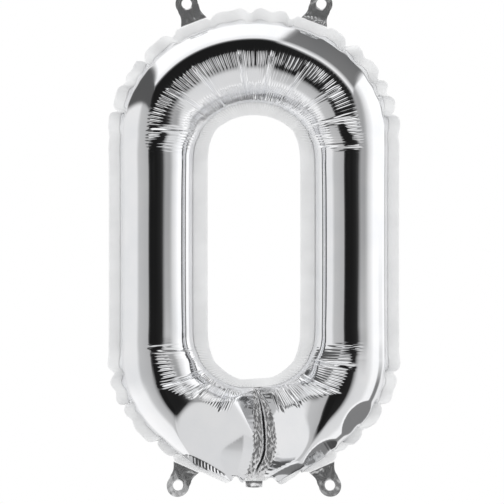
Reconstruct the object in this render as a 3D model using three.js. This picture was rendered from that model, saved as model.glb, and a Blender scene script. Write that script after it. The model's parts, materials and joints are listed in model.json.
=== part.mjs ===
// Foil number balloon, a silver "0" about 400 mm tall, hung by its two top tabs.
// Two metallised film sheets are welded along an outer and an inner seam, and air bulges
// them into a tube. Millimetres, +Z up, front towards -Y, origin midway between the two
// top tab holes.

import * as THREE from 'three';
import { LoftGeometry } from 'three/addons/geometries/LoftGeometry.js';

// ---------------------------------------------------------------- driving dimensions

// Outlines of the digit: half width, half length of the straight sides, rise of each end.
const FLANGE_EDGE = { halfWidth: 116.2, straight: 89, rise: 98.4 };
const OUTER_SEAM = { halfWidth: 106.8, straight: 89, rise: 91 };
const INNER_SEAM = { halfWidth: 49.6, straight: 66, rise: 47.2 };
const HOLE_EDGE = { halfWidth: 37.6, straight: 62.5, rise: 41.5 };

const FILM_GAP = 0.3;              // clearance between neighbouring film solids
const SEAM_THICKNESS = 0.8;        // welded flange
const SEAM_LAP = 1.4;              // how far the foil rims lap onto the welded flange
const FOIL_WALL = 0.8;             // bulged foil
const SIDE_DEPTH = 28.5;           // bulge of one foil at the straight sides
const END_DEPTH = 25;              // bulge of one foil at the top and bottom
const CREASE_X = 3;                // the crease at the bottom lies just right of the middle
const CREASE_DROP = 0.85;          // share of the bulge lost at the crease
const CREASE_WIDTH = 15;

const STRIP_THICKNESS = 0.6;       // puckered weld strip that lies in the crease
const STRIP_LIFT = 0.7;            // its clearance over the faceted foil
const STRIP_HALF_WIDTH = 9;
const STRIP_POINTS_ACROSS = 5;

const VALVE_WIDTH = 14;            // inner valve films and inflation mouth
const VALVE_FILM = 0.35;
const VALVE_GAP = 0.3;             // clearance between the two valve films
const VALVE_TOP = -122;            // height of the valve's inner end above the digit's centre
const VALVE_SLOT_MARGIN = 0.5;     // clearance of the flange on each side of the valve
const MOUTH_LENGTH = 5;            // mouth flaps beyond the flange edge

const TAB_THICKNESS = 0.6;
const TAB_ROOT_HALF = 12;
const TAB_NECK_HALF = 8.4;
const TAB_ROUND_RADIUS = 9;
const TAB_HOLE_RADIUS = 4;
const TAB_HOLE_REACH = 16;         // flange edge to hole centre
const TAB_ROOT_GAP = 0.35;
const TOP_TAB_X = 48;              // where the tabs leave the flange edge
const BOTTOM_TAB_X = 54;

const STRAIGHT_STEPS = 3;
const ARC_STEP = Math.PI / 24;
const CREASE_STEP = Math.PI / 90;  // finer stations beside the bottom crease
const CREASE_STATIONS = 8;
const SECTION_STEPS = 10;

// ---------------------------------------------------------------- materials

const foilMaterial = new THREE.MeshStandardMaterial({ color: 0xdfe1e4, roughness: 0.08, metalness: 1 });
const seamMaterial = new THREE.MeshStandardMaterial({ color: 0xd8dadd, roughness: 0.35, metalness: 0.9 });
const stripMaterial = new THREE.MeshStandardMaterial({ color: 0xb9bbbe, roughness: 0.3, metalness: 0.9 });
const valveMaterial = new THREE.MeshStandardMaterial({ color: 0xe9ecec, roughness: 0.4, metalness: 0 });
const tabMaterial = new THREE.MeshStandardMaterial({ color: 0xc9cbce, roughness: 0.15, metalness: 1 });

// ---------------------------------------------------------------- the digit's outlines

// A station is a place on one lap of the digit. On the top (end 1) or bottom (end -1),
// angle is the ellipse angle from +X. On a straight side, along runs from -1 to 1 upwards.
function endStations(end, from, to, step) {
  const count = Math.round((to - from) / step);
  return Array.from({ length: count + 1 }, (_, i) => ({ end, angle: from + i * step }));
}

function bottomStation(angle) {
  return { end: -1, angle };
}

function sideStations(side, direction) {
  const stations = [];
  for (let i = 1; i < STRAIGHT_STEPS; i += 1) {
    stations.push({ side, along: direction * (2 * i / STRAIGHT_STEPS - 1) });
  }
  return stations;
}

function bottomStations() {
  const middle = 1.5 * Math.PI;
  const fine = CREASE_STATIONS * CREASE_STEP;
  const coarse = (Math.PI / 2 - fine) / Math.round((Math.PI / 2 - fine) / ARC_STEP);
  return [
    ...endStations(-1, Math.PI, middle - fine - coarse, coarse),
    ...endStations(-1, middle - fine, middle + fine, CREASE_STEP),
    ...endStations(-1, middle + fine + coarse, 2 * Math.PI, coarse),
  ];
}

function lapStations() {
  return [
    ...sideStations(1, 1),
    ...endStations(1, 0, Math.PI, ARC_STEP),
    ...sideStations(-1, -1),
    ...bottomStations(),
  ];
}

// Point of an outline at a station, in the plane y = 0 around the digit's centre.
function outlinePoint(outline, station) {
  if (station.side !== undefined) {
    return new THREE.Vector3(station.side * outline.halfWidth, 0, station.along * outline.straight);
  }
  return new THREE.Vector3(
    outline.halfWidth * Math.cos(station.angle), 0,
    station.end * outline.straight + outline.rise * Math.sin(station.angle));
}

// ---------------------------------------------------------------- closed lofts

function ringLoft(sections) {
  return new LoftGeometry([...sections, sections[0]]);
}

function cappedLoft(sections) {
  return new LoftGeometry(sections, { capStart: true, capEnd: true });
}

// Rectangle between two points of the y = 0 plane, from y low to y high.
function plateSection(outerPoint, innerPoint, low, high) {
  return [
    new THREE.Vector3(outerPoint.x, high, outerPoint.z),
    new THREE.Vector3(innerPoint.x, high, innerPoint.z),
    new THREE.Vector3(innerPoint.x, low, innerPoint.z),
    new THREE.Vector3(outerPoint.x, low, outerPoint.z),
  ];
}

// ---------------------------------------------------------------- bulged foils

const RIM_Y = SEAM_THICKNESS / 2 + FILM_GAP;

function bulgeDepth(station) {
  if (station.side !== undefined) {
    return SIDE_DEPTH;
  }
  const endness = Math.sin(station.angle) ** 2;
  const depth = SIDE_DEPTH + (END_DEPTH - SIDE_DEPTH) * endness;
  if (station.end > 0) {
    return depth;
  }
  const middle = outlinePoint(OUTER_SEAM, station).x * 0.73;
  return depth * (1 - CREASE_DROP * Math.exp(-(((middle - CREASE_X) / CREASE_WIDTH) ** 2)));
}

// Point on a foil: turn 0 is the outer seam, turn pi is the inner seam.
function foilPoint(station, turn, facing, inset) {
  const outer = outlinePoint(OUTER_SEAM, station);
  const inner = outlinePoint(INNER_SEAM, station);
  const middle = outer.clone().add(inner).multiplyScalar(0.5);
  const half = outer.clone().sub(inner).multiplyScalar(0.5);
  const point = middle.addScaledVector(half, (1 - inset / half.length()) * Math.cos(turn));
  point.y = facing * (RIM_Y + (bulgeDepth(station) - inset) * Math.sin(turn));
  return point;
}

function foilGeometry(facing) {
  const turns = Array.from({ length: SECTION_STEPS + 1 }, (_, i) => Math.PI * i / SECTION_STEPS);
  const sections = lapStations().map((station) => {
    const outside = turns.map((turn) => foilPoint(station, turn, facing, 0));
    const inside = turns.map((turn) => foilPoint(station, turn, facing, FOIL_WALL));
    const loop = [...outside, ...inside.reverse()];
    return facing < 0 ? loop.reverse() : loop;
  });
  return ringLoft(sections);
}

// ---------------------------------------------------------------- welded flanges

// Outer flange: an open ring whose two ends leave a slot for the valve at the bottom.
function outerSeamGeometry() {
  const slotHalf = VALVE_WIDTH / 2 + VALVE_SLOT_MARGIN;
  const slotAngle = Math.asin(slotHalf / (OUTER_SEAM.halfWidth - SEAM_LAP));
  const slotStart = 1.5 * Math.PI + slotAngle;
  const slotEnd = 1.5 * Math.PI - slotAngle;
  const closest = CREASE_STEP / 2;
  const bottom = bottomStations();
  const stations = [
    bottomStation(slotStart),
    ...bottom.filter((station) => station.angle > slotStart + closest),
    ...sideStations(1, 1),
    ...endStations(1, 0, Math.PI, ARC_STEP),
    ...sideStations(-1, -1),
    ...bottom.filter((station) => station.angle < slotEnd - closest),
    bottomStation(slotEnd),
  ];
  return cappedLoft(stations.map((station) => {
    const edge = outlinePoint(FLANGE_EDGE, station);
    const seam = outlinePoint(OUTER_SEAM, station);
    const inward = seam.clone().sub(edge).setLength(SEAM_LAP);
    return plateSection(edge, seam.add(inward), -SEAM_THICKNESS / 2, SEAM_THICKNESS / 2);
  }));
}

function innerSeamGeometry() {
  return ringLoft(lapStations().map((station) => {
    const edge = outlinePoint(HOLE_EDGE, station);
    const seam = outlinePoint(INNER_SEAM, station);
    const outward = seam.clone().sub(edge).setLength(SEAM_LAP);
    return plateSection(seam.add(outward), edge, -SEAM_THICKNESS / 2, SEAM_THICKNESS / 2);
  }));
}

// ---------------------------------------------------------------- weld strip in the crease

function foilNormal(station, turn) {
  const step = 0.001;
  const here = foilPoint(station, turn, -1, 0);
  const along = foilPoint(bottomStation(station.angle + step), turn, -1, 0).sub(here);
  const across = foilPoint(station, turn + step, -1, 0).sub(here);
  return along.cross(across).normalize();
}

// Spindle of film over the crease: widest half way across the tube, narrow at both seams.
function stripGeometry() {
  const sections = [];
  for (let i = 1; i < SECTION_STEPS; i += 1) {
    const turn = Math.PI * i / SECTION_STEPS;
    const halfWidth = STRIP_HALF_WIDTH * Math.sin(turn);
    const reach = foilPoint(bottomStation(0), turn, -1, 0).x;
    const low = [];
    const high = [];
    for (let j = 0; j < STRIP_POINTS_ACROSS; j += 1) {
      const share = 2 * j / (STRIP_POINTS_ACROSS - 1) - 1;
      const x = CREASE_X * 0.7 + share * halfWidth;
      const station = bottomStation(1.5 * Math.PI + Math.asin(x / reach));
      const base = foilPoint(station, turn, -1, 0);
      const normal = foilNormal(station, turn);
      low.push(base.clone().addScaledVector(normal, STRIP_LIFT));
      high.push(base.clone().addScaledVector(normal, STRIP_LIFT + STRIP_THICKNESS));
    }
    sections.push([...high, ...low.reverse()]);
  }
  return cappedLoft(sections);
}

// ---------------------------------------------------------------- valve and mouth

function filmStrip(low, high, width, nearY, farY) {
  const thickness = Math.abs(farY - nearY);
  const geometry = new THREE.BoxGeometry(width, thickness, high - low);
  geometry.translate(0, (nearY + farY) / 2, (low + high) / 2);
  return geometry;
}

function valveFilm(facing) {
  const bottom = -(FLANGE_EDGE.straight + FLANGE_EDGE.rise);
  const near = facing * VALVE_GAP / 2;
  return filmStrip(bottom, VALVE_TOP, VALVE_WIDTH, near, near + facing * VALVE_FILM);
}

function mouthFlap(facing) {
  const root = -(FLANGE_EDGE.straight + FLANGE_EDGE.rise + FILM_GAP);
  const near = facing * VALVE_GAP / 2;
  return filmStrip(root - MOUTH_LENGTH, root, VALVE_WIDTH, near, near + facing * VALVE_FILM);
}

// ---------------------------------------------------------------- hanging tabs

// Flat tab in its own plane: the root on y = 0, the round end with its hole above it.
function tabShape() {
  const flare = TAB_HOLE_REACH * 0.55;
  const shape = new THREE.Shape();
  shape.moveTo(-TAB_ROOT_HALF, TAB_ROOT_GAP);
  shape.lineTo(TAB_ROOT_HALF, TAB_ROOT_GAP);
  shape.quadraticCurveTo(TAB_NECK_HALF, flare * 0.4, TAB_NECK_HALF, flare);
  shape.absarc(0, TAB_HOLE_REACH, TAB_ROUND_RADIUS, -0.3, Math.PI + 0.3, false);
  shape.lineTo(-TAB_NECK_HALF, flare);
  shape.quadraticCurveTo(-TAB_NECK_HALF, flare * 0.4, -TAB_ROOT_HALF, TAB_ROOT_GAP);
  const hole = new THREE.Path();
  hole.absarc(0, TAB_HOLE_REACH, TAB_HOLE_RADIUS, 0, 2 * Math.PI, true);
  shape.holes.push(hole);
  return shape;
}

function tabGeometry() {
  const options = { depth: TAB_THICKNESS, bevelEnabled: false, curveSegments: 10 };
  const geometry = new THREE.ExtrudeGeometry(tabShape(), options);
  geometry.translate(0, 0, -TAB_THICKNESS / 2);
  geometry.rotateX(Math.PI / 2);
  return geometry;
}

// Foot of a tab on the flange edge, and its lean from vertical, square to the edge.
function tabFoot(x, end) {
  const rise = Math.sqrt(1 - (x / FLANGE_EDGE.halfWidth) ** 2);
  const z = end * (FLANGE_EDGE.straight + FLANGE_EDGE.rise * rise);
  const lean = Math.atan2(x / FLANGE_EDGE.halfWidth ** 2, end * rise / FLANGE_EDGE.rise);
  return { x, z, lean };
}

const HANG_FOOT = tabFoot(TOP_TAB_X, 1);
const HANG_HEIGHT = HANG_FOOT.z + TAB_HOLE_REACH * Math.cos(HANG_FOOT.lean);

// ---------------------------------------------------------------- assembly

const digit = new THREE.Group();
digit.position.z = -HANG_HEIGHT;

function addPiece(name, geometry, material) {
  const mesh = new THREE.Mesh(geometry, material);
  mesh.name = name;
  digit.add(mesh);
  return mesh;
}

function addTab(name, x, end) {
  const foot = tabFoot(x, end);
  const tab = addPiece(name, tabGeometry(), tabMaterial);
  tab.position.set(foot.x, 0, foot.z);
  tab.rotation.y = foot.lean;
}

addPiece('front_foil', foilGeometry(-1), foilMaterial);
addPiece('back_foil', foilGeometry(1), foilMaterial);
addPiece('outer_seam', outerSeamGeometry(), seamMaterial);
addPiece('inner_seam', innerSeamGeometry(), seamMaterial);
addPiece('crease_weld_strip', stripGeometry(), stripMaterial);
addPiece('valve_front_film', valveFilm(-1), valveMaterial);
addPiece('valve_back_film', valveFilm(1), valveMaterial);
addPiece('mouth_front_flap', mouthFlap(-1), seamMaterial);
addPiece('mouth_back_flap', mouthFlap(1), seamMaterial);
addTab('tab_top_left', -TOP_TAB_X, 1);
addTab('tab_top_right', TOP_TAB_X, 1);
addTab('tab_bottom_left', -BOTTOM_TAB_X, -1);
addTab('tab_bottom_right', BOTTOM_TAB_X, -1);

const balloon = new THREE.Group();
balloon.add(digit);

export default balloon;
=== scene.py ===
"""Silver foil number balloon, a "0" hung by its two top tabs.

Two film sheets are blown up in code: the flat sheets keep their lengths, the air pushes them
out, and the outer weld, too long for its new place, buckles into scallops. That gives the straight
sides and the seams. Round the two ends each sheet is an even bulge with flat facets, and pleats
are pressed into it. Lengths are in millimetres, from the middle of the hole, until a mesh is made.
"""

import json
import math

import bpy
import numpy as np
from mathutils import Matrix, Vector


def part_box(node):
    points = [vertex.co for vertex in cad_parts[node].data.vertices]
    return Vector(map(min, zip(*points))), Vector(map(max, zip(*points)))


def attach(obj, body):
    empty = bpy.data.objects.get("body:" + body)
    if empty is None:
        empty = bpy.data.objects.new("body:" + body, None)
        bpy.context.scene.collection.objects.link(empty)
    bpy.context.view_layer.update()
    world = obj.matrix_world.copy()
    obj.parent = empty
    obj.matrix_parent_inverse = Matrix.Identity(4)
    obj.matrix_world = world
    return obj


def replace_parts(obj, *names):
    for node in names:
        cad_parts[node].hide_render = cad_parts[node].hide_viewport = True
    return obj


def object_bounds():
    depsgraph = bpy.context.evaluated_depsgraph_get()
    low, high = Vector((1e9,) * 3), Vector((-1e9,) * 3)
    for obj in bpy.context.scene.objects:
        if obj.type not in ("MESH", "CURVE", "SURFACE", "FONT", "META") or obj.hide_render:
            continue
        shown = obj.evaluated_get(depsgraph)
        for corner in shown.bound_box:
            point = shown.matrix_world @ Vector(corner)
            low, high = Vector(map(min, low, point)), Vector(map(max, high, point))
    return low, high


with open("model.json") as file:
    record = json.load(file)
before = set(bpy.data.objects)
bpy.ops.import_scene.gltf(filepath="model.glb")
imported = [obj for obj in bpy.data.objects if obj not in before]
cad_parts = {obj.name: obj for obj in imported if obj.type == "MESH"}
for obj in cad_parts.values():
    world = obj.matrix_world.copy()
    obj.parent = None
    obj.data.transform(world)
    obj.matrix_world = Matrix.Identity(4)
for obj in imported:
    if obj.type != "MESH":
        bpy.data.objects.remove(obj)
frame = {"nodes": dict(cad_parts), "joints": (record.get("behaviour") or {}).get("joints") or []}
cad_low, cad_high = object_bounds()

MM = 0.001
SEED = 7

# ------------------------ sizes from the frame

seam_low, seam_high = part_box("inner_seam")
CENTRE = (seam_low + seam_high) / 2
edge_low, edge_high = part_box("outer_seam")
foil_low, foil_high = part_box("front_foil")


def half_size(low, high):
    """Half width and half height of a box, in millimetres; the height is taken above the centre."""
    return (high.x - low.x) / 2 / MM, (high.z - CENTRE.z) / MM


EDGE_W, EDGE_H = half_size(edge_low, edge_high)
OUTER_W, OUTER_H = half_size(foil_low, foil_high)
SEAM_LAP = 1.4  # the seam node runs this far under the foil
INNER_W, INNER_H = (s - SEAM_LAP for s in half_size(seam_low, seam_high))
HOLE_FLANGE = 12.0  # width of the weld round the middle hole, at its sides
HOLE_FLANGE_END = 9.2  # and at its ends
HOLE_W, HOLE_H = INNER_W - HOLE_FLANGE, INNER_H - HOLE_FLANGE_END
DEPTH = (foil_high.y - foil_low.y) / MM
SIDE = 89.0  # half length of the straight sides,
INNER_SIDE = 66.0  # of the inner seam's
HOLE_SIDE = 62.5  # and of the hole's

# Blown outlines: half width, half length of the straight, rise of the round end.
BLOWN = {
    "edge": (EDGE_W, SIDE, EDGE_H - SIDE),
    "outer": (OUTER_W, SIDE, OUTER_H - SIDE),
    "inner": (INNER_W, INNER_SIDE, INNER_H - INNER_SIDE),
    "hole": (HOLE_W, HOLE_SIDE, HOLE_H - HOLE_SIDE),
}
# The same outlines on the flat sheets: the tube is wider there and the hole narrower.
FLAT_TUBE = 89.0  # width of the flat tube
FLAT_INNER = 33.6  # half width of the flat inner seam
FLAT_FLANGE = 9.4  # width of the outer weld
END_SHORT = 4.8  # the flat ends are this much less high than half a circle,
END_LONG = 4.6  # and the weld's edge is this much higher than one
FLAT = {
    "edge": (FLAT_INNER + FLAT_TUBE + FLAT_FLANGE, SIDE, FLAT_INNER + FLAT_TUBE + END_LONG),
    "outer": (FLAT_INNER + FLAT_TUBE, SIDE, FLAT_INNER + FLAT_TUBE - END_SHORT),
    "inner": (FLAT_INNER, SIDE, FLAT_INNER),
    "hole": (FLAT_INNER - HOLE_FLANGE, SIDE, FLAT_INNER - HOLE_FLANGE),
}

# ------------------------ stations round the digit

ARC_STEPS = 120
SIDE_STEPS = 48
ROWS = 28  # across one sheet, outer seam to inner seam
FLANGE_ROWS = 3
COLUMNS = 2 * (ARC_STEPS + SIDE_STEPS)
LENGTH_SAMPLES = 600  # points of a quarter outline when its length is measured


def station_list(side_steps, arc_steps):
    """(side, end, value): a height share on a straight side, or an angle on a round end."""
    stations = [(1, 0, 2 * i / side_steps - 1) for i in range(side_steps)]
    stations += [(0, 1, math.pi * i / arc_steps) for i in range(arc_steps)]
    stations += [(-1, 0, 1 - 2 * i / side_steps) for i in range(side_steps)]
    stations += [(0, -1, math.pi + math.pi * i / arc_steps) for i in range(arc_steps)]
    return stations


STATIONS = station_list(SIDE_STEPS, ARC_STEPS)


def smooth_step(value, low, high):
    t = np.clip((value - low) / (high - low), 0, 1)
    return t * t * (3 - 2 * t)


def outline(shape):
    """Points (x, z) of an outline at every station."""
    width, straight, rise = shape
    points = []
    for side, end, value in STATIONS:
        if side:
            points.append((side * width, value * straight))
        else:
            points.append((width * math.cos(value), end * straight + rise * math.sin(value)))
    return np.array(points)


def outline_by_length(blown, flat):
    """Blown outline with each flat point placed by its arc length, so nothing stretches."""
    width, straight, rise = blown
    angle = np.linspace(0, math.pi / 2, LENGTH_SAMPLES)
    rise_along = np.linspace(0, straight, LENGTH_SAMPLES)
    side = np.column_stack([np.full(LENGTH_SAMPLES, width), rise_along])
    arc = np.column_stack([width * np.cos(angle), straight + rise * np.sin(angle)])[1:]
    quarter = np.vstack([side, arc])
    travel = np.concatenate([[0], np.cumsum(np.linalg.norm(np.diff(quarter, axis=0), axis=1))])
    flat_width, flat_straight, _ = flat
    flat_quarter = flat_straight + flat_width * math.pi / 2
    points = []
    for side, end, value in STATIONS:
        if side:
            along, right, up = abs(value) * flat_straight, side, 1 if value >= 0 else -1
        else:
            turn = value % math.pi
            along = flat_straight + flat_width * min(turn, math.pi - turn)
            right, up = (1 if math.cos(value) >= 0 else -1), end
        along *= travel[-1] / flat_quarter
        points.append((right * np.interp(along, travel, quarter[:, 0]),
                       up * np.interp(along, travel, quarter[:, 1])))
    return np.array(points)


def upright(points, y=0.0):
    """(x, z) points as (x, y, z)."""
    return np.column_stack([points[:, 0], np.full(len(points), y), points[:, 1]])


blown_lines = {name: outline(shape) for name, shape in BLOWN.items()}
flat_lines = {name: outline(shape) for name, shape in FLAT.items()}
for name in ("inner", "hole"):
    blown_lines[name] = outline_by_length(BLOWN[name], FLAT[name])

# ------------------------ pinches of the outer seam

# Ellipse angles, in degrees from the right, where the outer weld is pinched.
TOP_PINCHES = (-1, 10, 21, 29, 39, 49.5, 74.5, 83.5, 92, 109, 123.7, 140.5, 154, 168, 181)
BOTTOM_PINCHES = (-172, -156, -148, -133, -122, -97.5, -83, -70, -47.8, -38.7, -24.6, -8)
PINCH_DEPTH = 1.9
PINCH_WIDTH = 2.6  # distance at which a pinch has fallen to a third


def pinch_depths():
    """How far inwards each station of the outer seam is pinched."""
    seam = blown_lines["outer"]
    depth = np.zeros(COLUMNS)
    for pinches, end in ((TOP_PINCHES, 1), (BOTTOM_PINCHES, -1)):
        for degrees in pinches:
            a = math.radians(degrees)
            place = np.array([OUTER_W * math.cos(a), end * SIDE + (OUTER_H - SIDE) * math.sin(a)])
            away = np.linalg.norm(seam - place, axis=1)
            depth = np.maximum(depth, PINCH_DEPTH * np.exp(-(away / PINCH_WIDTH) ** 2))
    return depth


def inward(points):
    """Unit vectors towards the inside of a closed outline."""
    along = np.roll(points, -1, 0) - np.roll(points, 1, 0)
    along /= np.linalg.norm(along, axis=1)[:, None]
    return np.column_stack([-along[:, 1], along[:, 0]])


# ------------------------ tabs and filling mouth

TAB_ROOT_HALF = 12.0
TAB_NECK_HALF = 8.4
TAB_NECK_TOP = 8.8  # flange edge to the narrowest place of the neck
TAB_HOLE_REACH = 16.0  # flange edge to hole centre
TAB_ROUND = 9.0  # radius of the round end
TAB_HOLE = 4.0  # radius of the hole
MOUTH_WIDTH = 14.0


def tab_feet():
    """For each tab: its foot (x, z) on the flange edge, and its outward and sideways directions."""
    feet = {}
    for joint in frame["joints"]:
        if joint["name"].endswith("_fold"):
            pivot = (np.array(joint["pos_m"]) - np.array(CENTRE)) / MM
            side = np.array(joint["axis"])
            out = np.array([-side[2], 0.0, side[0]])
            feet[joint["child"]] = pivot[[0, 2]], out, side
    return feet


TAB_FEET = tab_feet()

# ------------------------ the film under pressure

PRESSURE = 0.004
ROUNDS = 1000
DRAG = 0.9  # share of the speed kept from round to round
SEAM_PULL = 0.03  # the seams keep close to their blown outlines
BEND = 0.02  # how well the film resists sharp bends along the lap
FLANGE_FLATNESS = 0.2  # how well the flange stays flat across its width
EDGE_STIFFNESS = 0.6  # how well the outer weld resists shortening
CREASE_PULL = 0.3  # the two sheets are tied together along the crease
CREASE_LIFT = 3.4  # depth left at the crease, half way across the tube
SPINDLE_WIDTH = 18.6  # widest part of the strip over the crease
SPINDLE_TIP = 0.62  # share of the tube's width over which it narrows to its tip
SPINDLE_LEFT = 0.5  # its left edge lies this far left of the middle,
SPINDLE_FOOT = 4.7  # and this much further at the mouth,
SPINDLE_WAIST = 5.5  # where the strip is this much narrower
CREASE_FULLNESS = 0.24  # extra film beside the crease,
CREASE_REACH = 13  # and the columns it spreads over
BOTTOM_COLUMN = 2 * SIDE_STEPS + ARC_STEPS + ARC_STEPS // 2
TAB_PULL = 0.25  # the flange stays in place under the tabs and the mouth
FIRST_NOISE = 0.08  # unevenness of the flat film, which starts its buckles
START_BULGE = 0.9  # share of the full depth that the film starts from
PUSH_END = 0.30  # the film resists shortening up to this share of the sheet
PUSH_FADE = 0.15

# Share of the way from the outer to the inner seam, for each row round the whole tube.
RING_SHARES = np.array([r / ROWS if r <= ROWS else (2 * ROWS - r) / ROWS for r in range(2 * ROWS)])


def ring_rows(lines, blown):
    """Rows round the tube: outer seam, front sheet, inner seam, back sheet."""
    rows = []
    for row, share in enumerate(RING_SHARES):
        facing = -1 if row <= ROWS else 1
        if blown:
            turn = math.pi * share
            share = (1 - math.cos(turn)) / 2
            height = facing * START_BULGE * DEPTH * math.sin(turn)
        else:
            height = 0
        rows.append(upright(lines["outer"] * (1 - share) + lines["inner"] * share, height))
    return np.stack(rows)


def flange_rows(lines, seam, edge):
    shares = np.arange(FLANGE_ROWS + 1) / FLANGE_ROWS
    return np.stack([upright(lines[seam] * (1 - s) + lines[edge] * s) for s in shares])


def length(a, b):
    return np.linalg.norm(a - b, axis=-1)


def pull(a, b, rest, push=0.0):
    """Half of the move that brings a and b to their rest length; push is the share if too short."""
    d = b - a
    now = np.sqrt((d * d).sum(-1)) + 1e-9
    extra = now - rest
    extra = np.where(extra > 0, extra, extra * push)
    return (0.5 * extra / now)[..., None] * d


def along_lap(grid, rest, push):
    for start in (0, 1):
        here = np.arange(start, COLUMNS, 2)
        there = (here + 1) % COLUMNS
        move = pull(grid[:, here], grid[:, there], rest[:, here], push[:, here])
        grid[:, here] += move
        grid[:, there] -= move


def across_tube(tube, rests):
    """Film between neighbouring rows: straight, and both diagonals for shear."""
    for start in (0, 1):
        near = np.arange(start, 2 * ROWS, 2)
        far = (near + 1) % (2 * ROWS)
        for shift_near, shift_far, rest in rests:
            a = np.roll(tube[near], -shift_near, 1)
            b = np.roll(tube[far], -shift_far, 1)
            move = pull(a, b, rest[near])
            tube[near] += np.roll(move, shift_near, 1)
            tube[far] -= np.roll(move, shift_far, 1)


def across_flange(grid, rest):
    for start in (0, 1):
        a, b = grid[start:-1:2], grid[start + 1::2]
        move = pull(a, b, rest[start::2], 1.0)
        a += move
        b -= move


def soften(grid, share):
    """Resist sharp bends along the lap."""
    bend = (np.roll(grid, 1, 1) + np.roll(grid, -1, 1)) / 2 - grid
    grid -= share * ((np.roll(bend, 1, 1) + np.roll(bend, -1, 1)) / 2 - bend)


def near_tabs(edge):
    """Columns of the outer flange that carry a tab or the filling mouth."""
    near = np.abs(edge[:, 0]) < MOUTH_WIDTH / 2
    near &= edge[:, 1] < 0
    for foot, _, _ in TAB_FEET.values():
        near |= np.linalg.norm(edge - foot, axis=1) < TAB_ROOT_HALF
    return near


def crease_spindle(share):
    """Middle and half width, across the tube, of the spindle where the sheets are tied."""
    place = (1 - np.cos(math.pi * share)) / 2
    to_tip = np.clip((1 - place) / SPINDLE_TIP, 0, 1)
    width = SPINDLE_WIDTH * np.sin(math.pi / 2 * to_tip) ** 0.6
    width = width - SPINDLE_WAIST * (1 - smooth_step(place, 0, 0.22))
    left = -SPINDLE_LEFT - SPINDLE_FOOT * (1 - smooth_step(place, 0.05, 0.35))
    return left + width / 2, width / 2


def crease_hold(tube):
    """Which points of the tube the crease holds, and where."""
    share = np.repeat(RING_SHARES[:, None], COLUMNS, 1)
    middle, half = crease_spindle(share)
    held = (np.abs(tube[..., 0] - middle) < half) & (tube[..., 2] < -SIDE) & (half > 1.0)
    place = tube[held].copy()
    lift = CREASE_LIFT * np.sin(math.pi * share[held])
    place[:, 1] = np.sign(place[:, 1]) * lift
    return held, place


def blow_up():
    """The tube, outer flange and inner flange after the air is in, as grids of points."""
    rng = np.random.default_rng(SEED)
    pinch = pinch_depths()
    pinched = {name: line.copy() for name, line in blown_lines.items()}
    for name in ("outer", "edge"):
        pinched[name] += inward(pinched[name]) * pinch[:, None]
    tube, flat_tube = ring_rows(pinched, True), ring_rows(flat_lines, False)
    flanges = [flange_rows(pinched, "outer", "edge"), flange_rows(pinched, "inner", "hole")]
    flat_flanges = [flange_rows(flat_lines, "outer", "edge"), flange_rows(flat_lines, "inner", "hole")]
    for grid in (tube, *flanges):
        grid += rng.normal(0, FIRST_NOISE, grid.shape)

    tube_push = np.clip((PUSH_END - RING_SHARES) / PUSH_FADE, 0, 1)[:, None] * EDGE_STIFFNESS
    tube_push = np.repeat(tube_push, COLUMNS, 1)
    lap_rest = length(np.roll(flat_tube, -1, 1), flat_tube)
    beside = np.exp(-((np.arange(COLUMNS) - BOTTOM_COLUMN) / CREASE_REACH) ** 2)
    lap_rest *= 1 + CREASE_FULLNESS * beside * np.sin(math.pi * RING_SHARES)[:, None]
    down = np.roll(flat_tube, -1, 0)
    rests = ((0, 0, length(down, flat_tube)),
             (0, 1, length(np.roll(down, -1, 1), flat_tube)),
             (1, 0, length(down, np.roll(flat_tube, -1, 1))))
    flange_lap = [length(np.roll(g, -1, 1), g) for g in flat_flanges]
    flange_down = [length(g[1:], g[:-1]) for g in flat_flanges]
    flange_push = np.full((FLANGE_ROWS + 1, COLUMNS), EDGE_STIFFNESS)
    seam_rows = (0, ROWS)
    aims = (upright(pinched["outer"]), upright(pinched["inner"]))

    held, held_at = crease_hold(tube)
    flat_at = np.nonzero(near_tabs(blown_lines["edge"]))[0]
    flange_aim = flange_rows(blown_lines, "outer", "edge")[:, flat_at]
    speed = np.zeros_like(tube)
    for _ in range(ROUNDS):
        lap = np.roll(tube, -1, 1) - np.roll(tube, 1, 1)
        across = np.roll(tube, -1, 0) - np.roll(tube, 1, 0)
        before = tube.copy()
        speed = DRAG * speed + PRESSURE / 9 * np.cross(lap, across)
        tube = tube + speed
        for _ in range(2):
            along_lap(tube, lap_rest, tube_push)
            across_tube(tube, rests)
            for grid, lap_length, down_length, row in zip(flanges, flange_lap, flange_down, seam_rows):
                grid[0] = tube[row]
                along_lap(grid, lap_length, flange_push)
                across_flange(grid, down_length)
                tube[row] = grid[0]
        soften(tube, BEND)
        for grid in flanges:
            soften(grid, 2 * BEND)
            grid[1:-1] += FLANGE_FLATNESS * ((grid[2:] + grid[:-2]) / 2 - grid[1:-1])
        for row, aim in zip(seam_rows, aims):
            tube[row] += SEAM_PULL * (aim - tube[row])
        flanges[0][:, flat_at] += TAB_PULL * (flange_aim - flanges[0][:, flat_at])
        tube[held] += CREASE_PULL * (held_at - tube[held])
        speed = tube - before
    return tube, flanges[0], flanges[1]


# ------------------------ finer grids

FINE_SIDE = 150
FINE_ARC = 540
FINE_ROWS = 62
FINE_FLANGE = 10


def cubic_weights(part):
    """Catmull-Rom weights of the four points round a place."""
    p2, p3 = part * part, part * part * part
    return (-0.5 * part + p2 - 0.5 * p3, 1 - 2.5 * p2 + 1.5 * p3,
            0.5 * part + 2 * p2 - 1.5 * p3, -0.5 * p2 + 0.5 * p3)


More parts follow.
